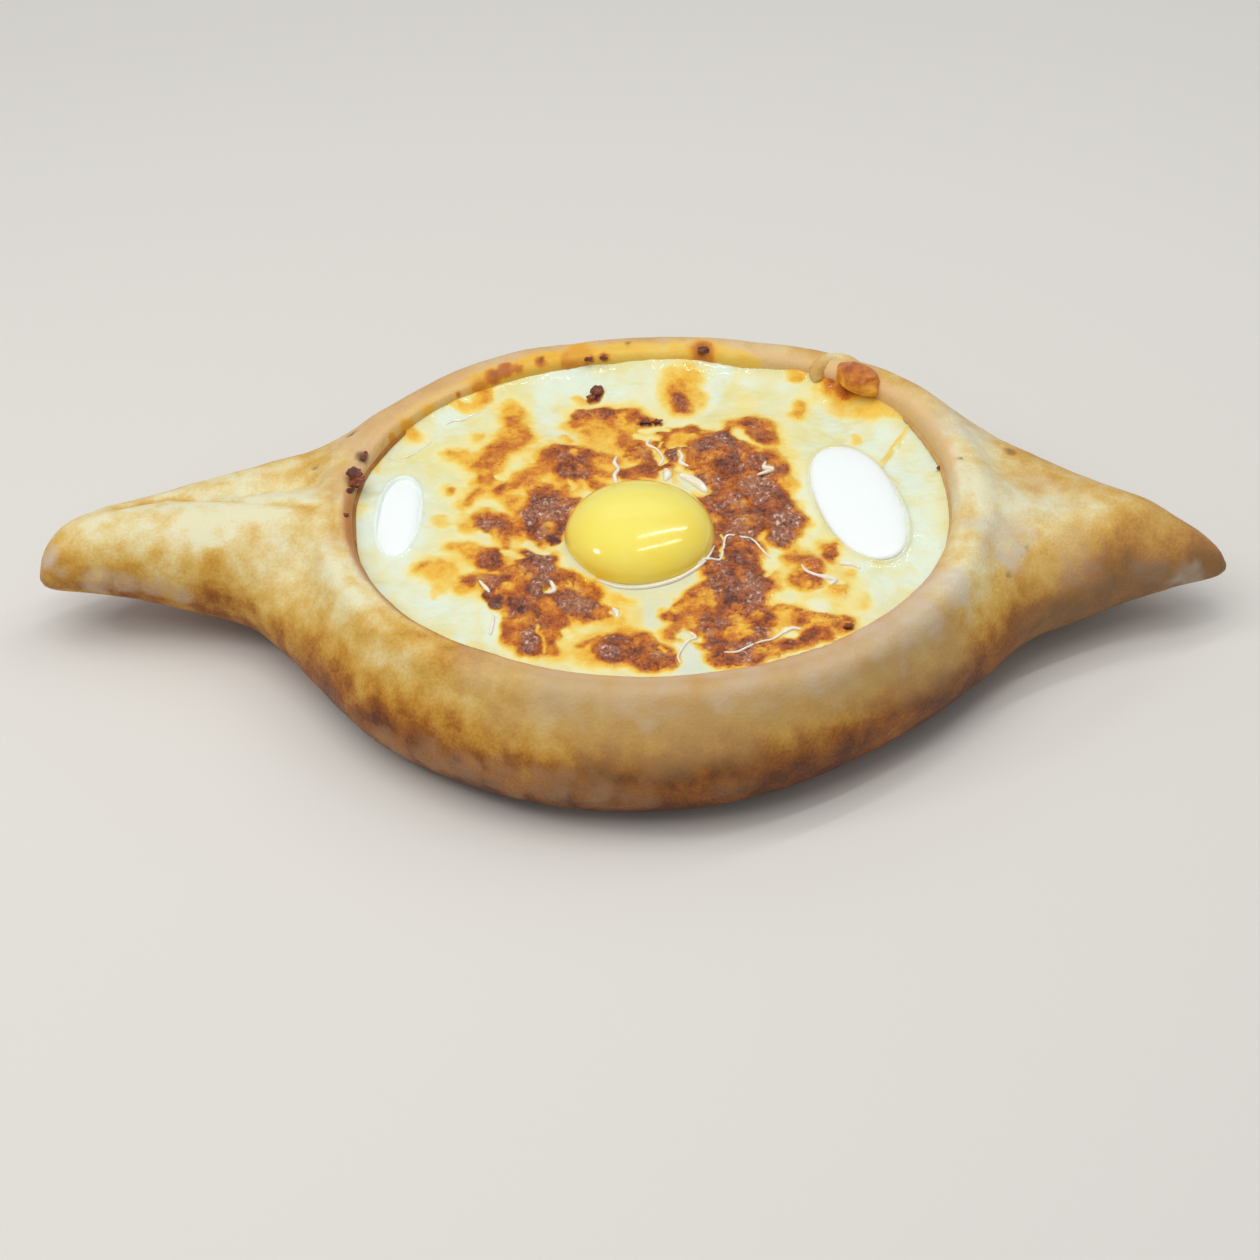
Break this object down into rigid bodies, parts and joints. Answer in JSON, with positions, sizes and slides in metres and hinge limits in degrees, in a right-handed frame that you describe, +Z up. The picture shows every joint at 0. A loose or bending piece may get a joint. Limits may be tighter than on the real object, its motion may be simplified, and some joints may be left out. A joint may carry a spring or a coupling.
{
  "type": "cheese bread",
  "caption": "Boat-shaped cheese bread with twisted dough horns, a rolled rim, browned molten cheese, a raw egg yolk and soft white pats",
  "frame": {"origin": "centre of the outline at the level of the flat base", "axes": "+X along the length from the blunt horn towards the pointed horn, +Y from the front wall towards the back wall, +Z up through the open top"},
  "size_m": [0.3008, 0.168, 0.0414],
  "materials": {
    "crust": "baked dough, golden brown, satin",
    "cheese": "molten cheese with browned blisters, wet sheen",
    "yolk": "raw egg yolk, glossy",
    "white_pat": "soft white pat, smooth",
    "browned_cheese": "browned cheese, blistered"
  },
  "bodies": {
    "root": {"crust": "crust", "filling": "cheese", "yolk": "yolk", "white_pat_right": "white_pat", "white_pat_left": "white_pat", "rim_cheese": "browned_cheese"}
  },
  "joints": []
}
